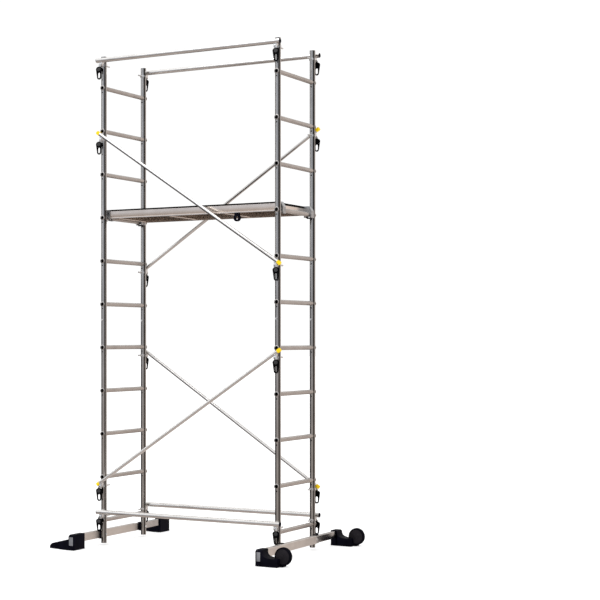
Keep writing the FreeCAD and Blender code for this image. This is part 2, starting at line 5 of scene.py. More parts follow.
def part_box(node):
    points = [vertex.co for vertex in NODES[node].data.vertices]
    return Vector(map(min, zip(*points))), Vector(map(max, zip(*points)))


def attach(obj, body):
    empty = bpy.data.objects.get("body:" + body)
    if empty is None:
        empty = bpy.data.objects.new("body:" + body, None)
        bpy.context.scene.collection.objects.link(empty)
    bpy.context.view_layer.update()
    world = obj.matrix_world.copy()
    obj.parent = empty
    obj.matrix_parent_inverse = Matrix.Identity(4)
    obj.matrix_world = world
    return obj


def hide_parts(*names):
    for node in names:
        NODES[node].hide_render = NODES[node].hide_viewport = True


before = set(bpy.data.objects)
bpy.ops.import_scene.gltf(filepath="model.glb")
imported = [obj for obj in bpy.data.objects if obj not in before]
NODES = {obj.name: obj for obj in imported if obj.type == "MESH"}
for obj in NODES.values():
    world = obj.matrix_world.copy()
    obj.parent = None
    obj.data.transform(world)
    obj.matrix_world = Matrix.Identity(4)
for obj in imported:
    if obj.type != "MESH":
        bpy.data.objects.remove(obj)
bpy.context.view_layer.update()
SIDES = (("left", -1), ("right", 1))
ENDS = (("front", -1), ("rear", 1))


# ------------------------------------------------------------ node material helpers
class Mat:
    """A node material built up step by step."""

    def __init__(self, name, **values):
        self.mat = bpy.data.materials.new(name)
        self.mat.use_nodes = True
        self.tree = self.mat.node_tree
        self.shader = self.tree.nodes["Principled BSDF"]
        self.place = self.add("ShaderNodeTexCoord").outputs["Object"]
        for key, value in values.items():
            self.shader.inputs[key.replace("_", " ")].default_value = value

    def add(self, kind, **props):
        node = self.tree.nodes.new(kind)
        for key, value in props.items():
            setattr(node, key, value)
        return node

    def link(self, a, b):
        self.tree.links.new(a, b)

    def stretched(self, scale):
        m = self.add("ShaderNodeMapping")
        m.inputs["Scale"].default_value = scale
        self.link(self.place, m.inputs["Vector"])
        return m.outputs["Vector"]

    def noise(self, scale, detail=3.0, along=None, rough=0.55):
        n = self.add("ShaderNodeTexNoise")
        n.inputs["Scale"].default_value = scale
        n.inputs["Detail"].default_value = detail
        n.inputs["Roughness"].default_value = rough
        self.link(self.stretched(along) if along else self.place, n.inputs["Vector"])
        return n.outputs["Fac"]

    def ramp(self, fac, stops):
        r = self.add("ShaderNodeValToRGB")
        bar = r.color_ramp
        while len(bar.elements) < len(stops):
            bar.elements.new(0.5)
        for e, (at, col) in zip(bar.elements, stops):
            e.position = at
            e.color = (*col, 1.0)
        self.link(fac, r.inputs["Fac"])
        return r.outputs["Color"]

    def grey(self, fac, lo, hi, a=0.0, b=1.0):
        return self.ramp(fac, ((a, (lo, lo, lo)), (b, (hi, hi, hi))))

    def mix(self, a, b, fac):
        m = self.add("ShaderNodeMix", data_type="RGBA")
        for value, slot in ((fac, 0), (a, 6), (b, 7)):
            if isinstance(value, (int, float)):
                m.inputs[slot].default_value = value
            elif isinstance(value, tuple):
                m.inputs[slot].default_value = (*value, 1.0)
            else:
                self.link(value, m.inputs[slot])
        return m.outputs[2]

    def colour(self, out):
        self.link(out, self.shader.inputs["Base Color"])

    def roughness(self, out):
        self.link(out, self.shader.inputs["Roughness"])

    def bump(self, height, depth, strength):
        b = self.add("ShaderNodeBump")
        b.inputs["Strength"].default_value = strength
        b.inputs["Distance"].default_value = depth
        self.link(height, b.inputs["Height"])
        self.link(b.outputs["Normal"], self.shader.inputs["Normal"])


X_WAY, Y_WAY, Z_WAY = range(3)


def drawn_aluminium(name, along, dark, light, rough, worn=0.22):
    """Extruded tube: fine draw lines along it, cloudy oxide and small scuffs."""
    m = Mat(name, Metallic=1.0)
    long_way = tuple(2.0 if way == along else 240.0 for way in (X_WAY, Y_WAY, Z_WAY))
    lines = m.noise(1.0, 4.0, long_way)
    cloud = m.noise(9.0, 4.0)
    scuff = m.noise(190.0, 5.0, rough=0.65)
    base = m.ramp(cloud, ((0.3, dark), (0.7, light)))
    marks = m.grey(scuff, 0.0, worn, 0.64, 0.8)
    m.colour(m.mix(base, tuple(c * 0.72 for c in dark), marks))
    m.roughness(m.mix(m.grey(lines, rough - 0.03, rough + 0.05, 0.3, 0.7), (0.4, 0.4, 0.4), marks))
    m.bump(lines, 0.00002, 0.3)
    return m.mat


def zinc_plated(name):
    """Bright zinc with small spangles."""
    m = Mat(name, Metallic=1.0)
    spangle = m.add("ShaderNodeTexVoronoi")
    spangle.inputs["Scale"].default_value = 260.0
    m.link(m.place, spangle.inputs["Vector"])
    cloud = m.noise(60.0, 4.0)
    plate = m.ramp(cloud, ((0.3, (0.74, 0.75, 0.76)), (0.7, (0.93, 0.93, 0.92))))
    m.colour(m.mix(plate, m.grey(spangle.outputs["Distance"], 0.82, 0.96), 0.35))
    m.roughness(m.grey(cloud, 0.16, 0.34))
    m.bump(m.noise(420.0, 2.0), 0.00005, 0.4)
    return m.mat


def cast_metal(name):
    """Sand-cast aluminium: coarse grain, uneven grey."""
    m = Mat(name, Metallic=1.0)
    grain = m.noise(520.0, 3.0)
    cloud = m.noise(40.0, 4.0)
    m.colour(m.ramp(cloud, ((0.3, (0.42, 0.43, 0.44)), (0.7, (0.66, 0.67, 0.68)))))
    m.roughness(m.grey(grain, 0.34, 0.52))
    m.bump(grain, 0.0002, 0.6)
    return m.mat


def moulded(name, dark, light, rough, grain_scale=900.0, grain_depth=0.00012, shine=0.2):
    """Moulded plastic or rubber: spark-eroded grain, faint mottling, rubbed patches."""
    m = Mat(name)
    grain = m.noise(grain_scale, 2.0)
    cloud = m.noise(18.0, 4.0)
    rub = m.noise(55.0, 5.0, rough=0.65)
    rubbed = tuple(min(1.0, c * 1.5) for c in light)
    m.colour(m.mix(m.ramp(cloud, ((0.35, dark), (0.7, light))), rubbed, m.grey(rub, 0.0, 0.5, 0.6, 0.8)))
    m.roughness(m.mix(m.grey(cloud, rough, rough + 0.1), m.grey(rub, rough - 0.1, rough + 0.16), 0.5))
    m.bump(grain, grain_depth, 0.7)
    m.shader.inputs["Specular IOR Level"].default_value = shine
    return m.mat


def film_faced_board(name):
    """Dark phenolic film with a pressed anti-slip mesh, ply layers at the edges."""
    m = Mat(name)
    brick = m.add("ShaderNodeTexBrick")
    brick.offset = 0.5
    brick.inputs["Scale"].default_value = 1.0
    brick.inputs["Mortar Size"].default_value = 0.16
    brick.inputs["Mortar Smooth"].default_value = 0.6
    m.link(m.stretched((210.0, 210.0, 210.0)), brick.inputs["Vector"])
    cloud = m.noise(7.0, 5.0)
    layer = m.add("ShaderNodeTexWave", wave_type="BANDS", bands_direction="Z")
    layer.inputs["Scale"].default_value = 160.0
    layer.inputs["Distortion"].default_value = 0.4
    m.link(m.place, layer.inputs["Vector"])
    film = m.ramp(cloud, ((0.3, (0.005, 0.004, 0.0035)), (0.72, (0.012, 0.010, 0.0085))))
    m.colour(m.mix(film, m.grey(layer.outputs["Fac"], 0.003, 0.012), 0.3))
    m.shader.inputs["Specular IOR Level"].default_value = 0.04
    m.roughness(m.grey(cloud, 0.42, 0.62))
    m.bump(brick.outputs["Fac"], 0.0003, 0.6)
    return m.mat


LADDER_UP = drawn_aluminium("ladder tube", Z_WAY, (0.47, 0.455, 0.44), (0.56, 0.545, 0.53), 0.12, 0.08)
LADDER_RUNG = drawn_aluminium("rung tube", Y_WAY, (0.50, 0.470, 0.448), (0.61, 0.580, 0.555), 0.24)
RAIL = drawn_aluminium("brace tube", X_WAY, (0.76, 0.74, 0.72), (0.88, 0.86, 0.84), 0.17)
BEAM = drawn_aluminium("beam tube", Y_WAY, (0.74, 0.70, 0.66), (0.85, 0.81, 0.77), 0.40)
INNER_BEAM = drawn_aluminium("inner beam tube", Y_WAY, (0.50, 0.49, 0.48), (0.66, 0.65, 0.64), 0.22)
DECK_RAIL = drawn_aluminium("deck rail", X_WAY, (0.86, 0.77, 0.70), (0.98, 0.89, 0.82), 0.22)
CAST = cast_metal("cast hook")
ZINC = zinc_plated("zinc plate")
BLACK = moulded("black plastic", (0.0022, 0.0020, 0.0050), (0.0040, 0.0037, 0.0095), 0.46, shine=0.04)
HANDLE = moulded("handle plastic", (0.0014, 0.0014, 0.0018), (0.0030, 0.0029, 0.0036), 0.46, shine=0.02)
PAD = moulded("handle web", (0.026, 0.026, 0.027), (0.046, 0.046, 0.048), 0.5)
GREY = moulded("grey panel", (0.13, 0.13, 0.14), (0.23, 0.23, 0.245), 0.36)
YELLOW = moulded("yellow plastic", (0.84, 0.55, 0.0), (0.97, 0.70, 0.003), 0.38)
TYRE = moulded("wheel rubber", (0.0020, 0.0018, 0.0040), (0.0042, 0.0038, 0.0075), 0.62, 500.0, 0.0003, shine=0.03)
DISC = moulded("wheel disc", (0.0120, 0.0105, 0.0130), (0.0200, 0.0175, 0.0215), 0.55, shine=0.08)
BOARD = film_faced_board("film-faced board")

CAD_FINISH = {
    "stiles": LADDER_UP, "rungs": LADDER_RUNG, "spigots": LADDER_UP, "beam": BEAM, "extension": INNER_BEAM,
    "guardrail": RAIL, "rail": RAIL, "diagonal": RAIL, "side_rails": DECK_RAIL, "members": DECK_RAIL,
    "hooks": CAST, "board": BOARD, "bolt": ZINC, "bolts": ZINC, "brackets": ZINC, "axle": ZINC, "clip": BLACK,
    "latch": BLACK, "foot": BLACK, "plugs": BLACK, "caps": YELLOW, "wheel": TYRE, "left": HANDLE, "right": HANDLE,
}


def finish_cad():
    """Gives every carried-over solid its finish."""
    for name, obj in NODES.items():
        words = name.split("_")
        mat = CAD_FINISH.get("_".join(words[-2:])) or CAD_FINISH[words[-1]]
        if name == "beam_brackets":
            mat = BLACK
        for s in obj.material_slots:
            s.material = mat


# ------------------------------------------------------------ mesh helpers
def made(name, bm, mat, body, slot, *nodes, sharp=32.0):
    """Turns a finished bmesh into a piece that rides on a body and stands for CAD nodes."""
    bmesh.ops.remove_doubles(bm, verts=bm.verts, dist=1e-6)
    bmesh.ops.recalc_face_normals(bm, faces=bm.faces)
    mesh = bpy.data.meshes.new(name)
    bm.to_mesh(mesh)
    bm.free()
    mesh.polygons.foreach_set("use_smooth", [True] * len(mesh.polygons))
    mesh.set_sharp_from_angle(angle=math.radians(sharp))
    mesh.materials.append(mat)
    obj = bpy.data.objects.new(name, mesh)
    bpy.context.scene.collection.objects.link(obj)
    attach(obj, body)
    if nodes:
        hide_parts(*nodes)


def block(bm, lo, hi):
    """A box from corner to corner; gives its verts."""
    lo, hi = Vector(lo), Vector(hi)
    place = Matrix.Translation((lo + hi) / 2) @ Matrix.Diagonal((*(hi - lo), 1.0))
    return bmesh.ops.create_cube(bm, size=1.0, matrix=place)["verts"]


def edges_of(bm, verts):
    """Edges between the given verts."""
    chosen = set(verts)
    return [e for e in bm.edges if e.verts[0] in chosen and e.verts[1] in chosen]


def soften(bm, edges, width, segments=2):
    """Rounds edges over."""
    bmesh.ops.bevel(bm, geom=edges, offset=width, offset_type="OFFSET", segments=segments, profile=0.5,
                    affect="EDGES", material=-1, clamp_overlap=True)


def sharp_edges(bm, angle=40.0):
    limit = math.radians(angle)
    return [e for e in bm.edges if e.is_manifold and e.calc_face_angle(0.0) > limit]


def push(bm, faces, vec):
    """Extrudes faces and moves the new ones; gives the moved verts."""
    new = bmesh.ops.extrude_face_region(bm, geom=faces)["geom"]
    moved = [v for v in new if isinstance(v, bmesh.types.BMVert)]
    bmesh.ops.translate(bm, vec=vec, verts=moved)
    return moved


def slab(bm, points, y0, y1):
    """A side view of a few corners (x, z), pushed along Y."""
    verts = [bm.verts.new((x, y0, z)) for x, z in points]
    return verts + push(bm, [bm.faces.new(verts)], (0, y1 - y0, 0))


def bar(bm, points, x0, x1):
    """An end view of a few corners (y, z), pushed along X."""
    verts = [bm.verts.new((x0, y, z)) for y, z in points]
    push(bm, [bm.faces.new(verts)], (x1 - x0, 0, 0))


def turned(bm, profile, centre, axis, steps=64):
    """A solid of revolution from (along, radius) corners of a closed section."""
    axis = Vector(axis).normalized()
    side = axis.orthogonal().normalized()
    centre = Vector(centre)
    ring = [bm.verts.new(centre + axis * a + side * r) for a, r in profile]
    line = [bm.edges.new((ring[i], ring[i + 1])) for i in range(len(ring) - 1)]
    if profile[0][1] > 1e-6:
        line.append(bm.edges.new((ring[-1], ring[0])))
    bmesh.ops.spin(bm, geom=ring + line, cent=centre, axis=axis, dvec=(0, 0, 0), angle=2 * math.pi, steps=steps,
                   use_merge=True, use_duplicate=False)


# ------------------------------------------------------------ lock pins and their pull handles
PIN_R = 0.005
PIN_TIP = 0.067            # tip past the stile's centre
PIN_SHOULDER = 0.0436      # outer end of the shaft
TANG_UP = 0.008            # tang's top over the pin's axis
TANG_FACES = (0.0401, 0.0439)
TANG_HALF = 0.008
TANG_FOOT = 0.018
HANDLE_SHIFT = 0.009
HANDLE_PLANE = 0.042
HANDLE_FACE = 0.047
HANDLE_T = 0.0096
HANDLE_TOP = 0.013
HANDLE_HALF = 0.023        # half width of the ring's upper arch
HANDLE_ARCH = 0.017
HANDLE_LOW_R = 0.0145
HANDLE_DROP = 0.0525       # from the upper arch's centre to the lower one's
SLOT_R = 0.009
SLOT_RISE = 0.018          # from the finger slot's lower centre to its upper one
SLOT_DOWN = 0.066          # slot's lower centre below the handle's top
WEB_HALF = (0.0135, 0.0120)
WEB_DOWN = 0.0175
WEB_INSET = 0.0010
WEB_T = 0.0013


def pin_centre(node, sx, sy):
    """Where the pin's axis crosses its stile's axis."""
    lo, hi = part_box(node)
    y = lo[1] + HANDLE_FACE if sy < 0 else hi[1] - HANDLE_FACE
    return Vector(((lo[0] + hi[0]) / 2 - sx * HANDLE_SHIFT, y, hi[2] - TANG_UP))


def pull_handle(name, node, c, sx, sy):
    """Teardrop ring with a finger slot, and the web that fills its upper half on the outer side."""
    bm = bmesh.new()
    hx, top = c.x + sx * HANDLE_SHIFT, c.z - HANDLE_TOP
    turn = Matrix.Rotation(math.radians(90), 4, "X")
    outer = bmesh.ops.create_circle(bm, cap_ends=False, radius=1.0, segments=56, matrix=turn)["verts"]
    high = [v for v in outer if v.co.z > 1e-5]
    wide = [v for v in outer if abs(v.co.z) <= 1e-5]
    low = [v for v in outer if v.co.z < -1e-5]
    bmesh.ops.scale(bm, vec=(HANDLE_HALF, 1, HANDLE_ARCH), verts=high)
    bmesh.ops.scale(bm, vec=(HANDLE_HALF, 1, 1), verts=wide)
    bmesh.ops.scale(bm, vec=(HANDLE_LOW_R, 1, HANDLE_LOW_R), verts=low)
    bmesh.ops.translate(bm, vec=(0, 0, -HANDLE_DROP), verts=low)
    bmesh.ops.translate(bm, vec=(hx, 0, top - HANDLE_ARCH), verts=outer)
    inner = bmesh.ops.create_circle(bm, cap_ends=False, radius=SLOT_R, segments=56, matrix=turn)["verts"]
    upper = [v for v in inner if v.co.z >= -1e-5]
    bmesh.ops.translate(bm, vec=(0, 0, SLOT_RISE), verts=upper)
    bmesh.ops.translate(bm, vec=(hx, 0, top - SLOT_DOWN), verts=inner)
    face = bmesh.ops.bridge_loops(bm, edges=bm.edges[:])["faces"]
    start = c.y + sy * (HANDLE_PLANE - HANDLE_T / 2)
    bmesh.ops.translate(bm, vec=(0, start, 0), verts=bm.verts)
    push(bm, face, (0, sy * HANDLE_T, 0))
    bmesh.ops.recalc_face_normals(bm, faces=bm.faces)
    soften(bm, sharp_edges(bm, 60), 0.0022, 3)
    made(name, bm, HANDLE, node, "handle_plastic", node, sharp=40)
    bm = bmesh.new()
    web = bmesh.ops.create_circle(bm, cap_ends=True, radius=1.0, segments=40, matrix=turn)["verts"]
    bmesh.ops.scale(bm, vec=(WEB_HALF[0], 1, WEB_HALF[1]), verts=web)
    bmesh.ops.translate(bm, vec=(hx, start + sy * (HANDLE_T - WEB_INSET), top - WEB_DOWN), verts=web)
    push(bm, bm.faces[:], (0, sy * WEB_T, 0))
    bmesh.ops.recalc_face_normals(bm, faces=bm.faces)
    soften(bm, sharp_edges(bm, 60), 0.0004, 2)
    made(name + "_web", bm, PAD, node, "handle_plastic", sharp=40)


def steel_pin(name, node, c, sx, sy):
    """Turned shaft with a stop groove, the flat tang that carries the handle, and a riveted head."""
    bm = bmesh.new()
    profile = ((PIN_SHOULDER, 0.0), (PIN_SHOULDER, PIN_R - 0.0006), (PIN_SHOULDER - 0.0006, PIN_R),
               (-0.0465, PIN_R), (-0.047, PIN_R - 0.0008), (-0.0495, PIN_R - 0.0008), (-0.05, PIN_R),
               (0.006 - PIN_TIP, PIN_R), (0.001 - PIN_TIP, 0.0028), (-PIN_TIP, 0.0016), (-PIN_TIP, 0.0))
    turned(bm, [(-a if sy > 0 else a, r) for a, r in profile], c, (0, -1, 0), 24)
    hx = c.x + sx * HANDLE_SHIFT
    left, right = min(c.x, hx) - TANG_HALF, max(c.x, hx) + TANG_HALF
    y0, y1 = (c.y + sy * at for at in TANG_FACES)
    tang = slab(bm, [(c.x - TANG_HALF, c.z + 0.0079), (c.x + TANG_HALF, c.z + 0.0079), (right, c.z - 0.008),
                     (hx + 0.0078, c.z - TANG_FOOT), (hx - 0.0078, c.z - TANG_FOOT), (left, c.z - 0.008)], y0, y1)
    bmesh.ops.recalc_face_normals(bm, faces=bm.faces)
    soften(bm, edges_of(bm, tang), 0.0009, 2)
    turned(bm, ((0.0, 0.0), (0.0, 0.0068), (0.0012, 0.0062), (0.0022, 0.0035), (0.0024, 0.0)),
           (c.x, y1, c.z), (0, sy, 0), 24)
    made(name, bm, ZINC, node, "zinc", node, sharp=40)


def make_pins():
    for node in sorted(NODES):
        if "_pin_" not in node:
            continue
        sy = -1 if node.startswith("front") else 1
        sx = -1 if node.endswith("left") else 1
        c = pin_centre(node, sx, sy)
        steel_pin(node + "_steel", node, c, sx, sy)
        pull_handle(node + "_handle", node, c, sx, sy)


# ------------------------------------------------------------ rungs: fluted tubes with flared ends
RUNG_R = 0.014
RUNG_FLAT = 0.0127         # half width over the two rolled sides
RUNG_BORE = 0.0112
FLARE_R = 0.0165
FLUTE = 0.952              # a flute's depth, as a share of the rung's radius
RUNG_COUNTS = (("lower", 5), ("upper", 6))


def make_rungs():
    for side, sx in SIDES:
        for part, count in RUNG_COUNTS:
            node = "%s_%s_rungs" % (side, part)
            lo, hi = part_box(node)
            x, z0, z1 = (lo[0] + hi[0]) / 2, lo[2] + FLARE_R, hi[2] - FLARE_R
            bm = bmesh.new()
            turn = Matrix.Translation((x, lo[1], z0)) @ Matrix.Rotation(math.radians(-90), 4, "X")
            ring = bmesh.ops.create_circle(bm, cap_ends=False, radius=RUNG_R, segments=72, matrix=turn)["verts"]
            # every third corner sinks into a flute; the two sides are rolled flat
            centre = Vector((x, lo[1], z0))
            groove = [v for i, v in enumerate(ring) if i % 3 == 0]
            bmesh.ops.scale(bm, vec=(FLUTE, 1, FLUTE), verts=groove, space=Matrix.Translation(-centre))
            for s in (-1, 1):
                flat = [v for v in ring if s * (v.co.x - x) > RUNG_FLAT]
                bmesh.ops.scale(bm, vec=(0.0, 1, 1), verts=flat,
                                space=Matrix.Translation((-x - s * RUNG_FLAT, 0, 0)))
            wall = bmesh.ops.extrude_edge_only(bm, edges=edges_of(bm, ring))["geom"]
            far = [v for v in wall if isinstance(v, bmesh.types.BMVert)]
            bmesh.ops.translate(bm, vec=(0, hi[1] - lo[1], 0), verts=far)
            bore = bmesh.ops.create_circle(bm, cap_ends=False, radius=RUNG_BORE, segments=36, matrix=turn)["verts"]
            inner = bmesh.ops.extrude_edge_only(bm, edges=edges_of(bm, bore))["geom"]
            inner = [v for v in inner if isinstance(v, bmesh.types.BMVert)]
            bmesh.ops.translate(bm, vec=(0, hi[1] - lo[1], 0), verts=inner)
            # the flare: a rolled lip at each end, over the stile's face
            for y, s in ((lo[1], 1), (hi[1], -1)):
                turned(bm, ((0.0, RUNG_BORE), (0.0, 0.0150), (0.0010, 0.0164), (0.0024, FLARE_R), (0.0060, 0.0150),
                            (0.0090, 0.0135), (0.0090, RUNG_BORE)), (x, y, z0), (0, s, 0), 40)
            one = list(bm.verts) + list(bm.edges) + list(bm.faces)
            step = (z1 - z0) / (count - 1)
            for i in range(1, count):
                copy = bmesh.ops.duplicate(bm, geom=one)["geom"]
                up = [v for v in copy if isinstance(v, bmesh.types.BMVert)]
                bmesh.ops.translate(bm, vec=(0, 0, step * i), verts=up)
            made(node + "_fluted", bm, LADDER_RUNG, "tower", "ladder_aluminium", node, sharp=50)


# ------------------------------------------------------------ feet
BEAM_HALF = 0.015
BEAM_Z = 0.071
FOOT_WALL = 0.007
FOOT_TOP = 0.099
FOOT_SHOULDER = 0.088
SHOULDER_RUN = 0.012
SOCKET_HALF_H = 0.0255
SOCKET_SEEN = 0.03         # how far the socket's mouth is hollowed
HOLLOW_R = 0.058           # round the wheel


def foot_block(bm, xi, xo, y0, y1, mouth):
    """The upright block of a foot: the beam's socket in its tower side, a shoulder over its end face."""
    block(bm, (min(xi, xo), y0, 0.0), (max(xi, xo), y1, FOOT_TOP))
    end = y0 if mouth > 0 else y1
    bmesh.ops.bisect_plane(bm, geom=bm.verts[:] + bm.edges[:] + bm.faces[:],
                           plane_co=(0, end + mouth * SHOULDER_RUN, 0), plane_no=(0, 1, 0))
    for v in bm.verts:
        if abs(v.co.y - end) < 1e-6 and v.co.z > FOOT_TOP - 1e-6:
            v.co.z = FOOT_SHOULDER
    bmesh.ops.recalc_face_normals(bm, faces=bm.faces)
    face = [f for f in bm.faces if f.normal.y * mouth > 0.999][0]
    rim = [e for e in sharp_edges(bm, 20) if max(v.co.z for v in e.verts) > 0.02 and e not in face.edges[:]]
    soften(bm, rim, 0.0045, 3)
    face = [f for f in bm.faces if f.normal.y * mouth > 0.999][0]
    bmesh.ops.inset_region(bm, faces=[face], thickness=FOOT_WALL, use_even_offset=True)
    for v in face.verts:
        v.co.z = BEAM_Z + math.copysign(SOCKET_HALF_H, v.co.z - BEAM_Z)
    push(bm, [face], (0, -mouth * SOCKET_SEEN, 0))
    bmesh.ops.delete(bm, geom=[face], context="FACES_ONLY")


def wedge_toe(bm, xo, tip, y0, y1):
    """Low toe that reaches outwards, narrowing to a blunt end, with two stiffening ribs."""
    start = set(bm.verts)
    slab(bm, [(xo + 0.006, 0.0), (tip, 0.0), (tip, 0.014), (tip + 0.007, 0.024), (tip + 0.022, 0.034),
              (xo - 0.014, 0.062), (xo, 0.070), (xo + 0.006, 0.074)], y0 + 0.0005, y1 - 0.0005)
    ym = (y0 + y1) / 2
    for s in (-1, 1):
        new = [v for v in bm.verts if v not in start]
        near = set(new)
        geom = new + edges_of(bm, new) + [f for f in bm.faces if all(v in near for v in f.verts)]
        cut = bmesh.ops.bisect_plane(bm, geom=geom, plane_co=(xo - 0.020, ym + s * 0.0585, 0),
                                     plane_no=(-0.033, s * 0.145, 0), clear_outer=True)
        rim = [e for e in cut["geom_cut"] if isinstance(e, bmesh.types.BMEdge)]
        bmesh.ops.holes_fill(bm, edges=rim, sides=0)
    new = [v for v in bm.verts if v not in start]
    bmesh.ops.recalc_face_normals(bm, faces=bm.faces)
    soften(bm, [e for e in edges_of(bm, new) if e.is_manifold and e.calc_face_angle(0.0) > 0.5
                and max(v.co.z for v in e.verts) > 0.005], 0.003, 3)
    for s in (-1, 1):
        rib = slab(bm, [(xo - 0.004, 0.060), (tip + 0.035, 0.030), (tip + 0.035, 0.0375), (xo - 0.016, 0.0665),
                        (xo - 0.004, 0.076)], ym + s * 0.018 - 0.002, ym + s * 0.018 + 0.002)
        soften(bm, edges_of(bm, rib), 0.0008, 2)


def scooped_arm(bm, xo, wx, wz, y0, y1):
    """Arm that carries the wheel: low in front of it, hollowed round it, a tall cheek behind it."""
    scoop = [(wx - 0.062, 0.050), (xo + 0.042, 0.051), (xo + 0.034, 0.0522), (xo + 0.027, 0.054),
             (xo + 0.020, 0.0562), (xo + 0.014, 0.059), (xo + 0.0095, 0.0622), (xo + 0.006, 0.066),
             (xo + 0.003, 0.0708), (xo + 0.001, 0.076), (xo + 0.0002, 0.083), (xo - 0.001, 0.089),
             (xo - 0.008, 0.090)]
    low = [(xo - 0.008, 0.0), (wx - 0.015, 0.0), (wx - 0.015, 0.046), (wx - 0.019, 0.050)] + scoop
    hollow = [(wx + HOLLOW_R * math.sin(math.radians(a)), wz - HOLLOW_R * math.cos(math.radians(a)))
              for a in (7, 0, -8, -16, -24, -32, -40, -48, -56, -64, -72, -78)]
    mid = [(xo - 0.008, 0.0), (wx + 0.004, 0.0)] + hollow + scoop
    cheek = [(xo - 0.008, 0.0), (wx + 0.004, 0.0), (wx + 0.004, 0.012), (wx + 0.013, 0.012),
             (wx + 0.022, 0.024), (wx + 0.022, 0.076), (wx + 0.018, 0.084), (wx + 0.010, 0.088),
             (wx - 0.018, 0.088), (wx - 0.026, 0.082), (wx - 0.046, 0.0545)] + scoop
    front, back = y0 + 0.036, y0 + 0.070
    for shape, a, b in ((low, y0, front), (mid, front, back), (cheek, back, y1)):
        part = slab(bm, shape, a, b)
        bmesh.ops.recalc_face_normals(bm, faces=bm.faces)
        faces = (y0, y1) if shape is not mid else ()
        rim = [e for e in edges_of(bm, part) if e.is_manifold and e.calc_face_angle(0.0) > 1.0
               and min(v.co.z for v in e.verts) > 0.004
               and any(max(abs(v.co.y - y) for v in e.verts) < 1e-5 for y in faces)]
        soften(bm, rim, 0.0022, 3)
    for i in range(8):
        rx = xo + 0.004 + i * 0.009
        rib = block(bm, (rx, y0 - 0.0009, 0.005), (rx + 0.0045, y0 + 0.002, 0.031))
        soften(bm, edges_of(bm, rib), 0.0008, 2)


def make_feet():
    wheel_lo, wheel_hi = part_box("front_wheel")
    wx, wz = (wheel_lo[0] + wheel_hi[0]) / 2, (wheel_lo[2] + wheel_hi[2]) / 2
    for side, sx in SIDES:
        for end, sy in ENDS:
            node = "%s_%s_foot" % (side, end)
            body = "tower" if sy < 0 else side + "_extension"
            lo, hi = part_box(node)
            blo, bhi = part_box(side + "_beam")
            bx = (blo[0] + bhi[0]) / 2
            xi, xo = bx - sx * (BEAM_HALF + FOOT_WALL), bx + sx * (BEAM_HALF + FOOT_WALL)
            y0, y1 = (lo[1] + 0.001, hi[1]) if sy < 0 else (lo[1], hi[1] - 0.001)
            bm = bmesh.new()
            foot_block(bm, xi, xo, y0, y1, -sy)
            if sx < 0:
                wedge_toe(bm, xo, lo[0], y0, y1)
            else:
                scooped_arm(bm, xo, wx, wz, y0, y1)
            made(node + "_moulded", bm, BLACK, body, "black_plastic", node, sharp=38)
            bm = bmesh.new()
            yf, half = (lo[1] if sy < 0 else hi[1]), (0.0125 if sx > 0 else 0.015)
            y_in, y_out = sorted((yf, yf - sy * 0.004))
            panel = block(bm, (bx - half, y_in, 0.030), (bx + half, y_out, 0.084))
            soften(bm, edges_of(bm, panel), 0.0009, 2)
            made(node + "_panel", bm, GREY, body, "grey_plastic")


# ------------------------------------------------------------ wheels and axles
AXLE_R = 0.0060
HUB_BORE = 0.00615
HUB_R = 0.0185


def make_wheels():
    for end, sy in ENDS:
        node = end + "_wheel"
        lo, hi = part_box(node)
        c = Vector(((lo[0] + hi[0]) / 2, lo[1], (lo[2] + hi[2]) / 2))
        r, w = (hi[2] - lo[2]) / 2, hi[1] - lo[1]
        bm = bmesh.new()
        tyre = [(0.0022, r - 0.0095), (0.0006, r - 0.0085), (0.0, r - 0.0065), (0.0008, r - 0.0035),
                (0.0028, r - 0.0012), (0.0058, r - 0.0002), (w / 2 - 0.0022, r), (w / 2 - 0.0012, r - 0.0012),
                (w / 2 + 0.0012, r - 0.0012), (w / 2 + 0.0022, r), (w - 0.0058, r - 0.0002),
                (w - 0.0028, r - 0.0012), (w - 0.0008, r - 0.0035), (w, r - 0.0065), (w - 0.0006, r - 0.0085),
                (w - 0.0022, r - 0.0095)]
        turned(bm, tyre, c, (0, 1, 0), 96)
        made(node + "_tyre", bm, TYRE, node, "wheel_rubber", node, sharp=30)
        bm = bmesh.new()
        disc = [(0.0022, HUB_R), (0.0026, r - 0.0092), (w - 0.0026, r - 0.0092), (w - 0.0022, HUB_R),
                (w - 0.0008, 0.0172), (w - 0.0004, 0.0160), (w - 0.0004, HUB_BORE), (0.0004, HUB_BORE),
                (0.0004, 0.0160), (0.0008, 0.0172)]
        turned(bm, disc, c, (0, 1, 0), 96)
        made(node + "_disc", bm, DISC, node, "wheel_rubber", sharp=30)
        axle = end + "_axle"
        alo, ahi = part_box(axle)
        body = "tower" if sy < 0 else "right_extension"
        ln = ahi[1] - alo[1]
        bm = bmesh.new()
        turned(bm, [(0.003, 0.0), (0.003, AXLE_R), (ln - 0.001, AXLE_R), (ln, 0.0052), (ln, 0.0)],
               (c.x, alo[1], c.z), (0, 1, 0), 36)
        made(axle + "_shaft", bm, ZINC, body, "zinc", axle, sharp=35)
        bm = bmesh.new()
        turned(bm, [(0.0, 0.0), (0.0, 0.0066), (0.0010, 0.0090), (0.0022, 0.0100), (0.0038, 0.0100),
                    (0.0040, 0.0062), (0.0040, 0.0)], (c.x, alo[1], c.z), (0, 1, 0), 36)
        made(axle + "_cap", bm, DISC, body, "black_plastic", axle, sharp=35)


# ------------------------------------------------------------ end caps of the braces
DIAGONAL_D = 0.022
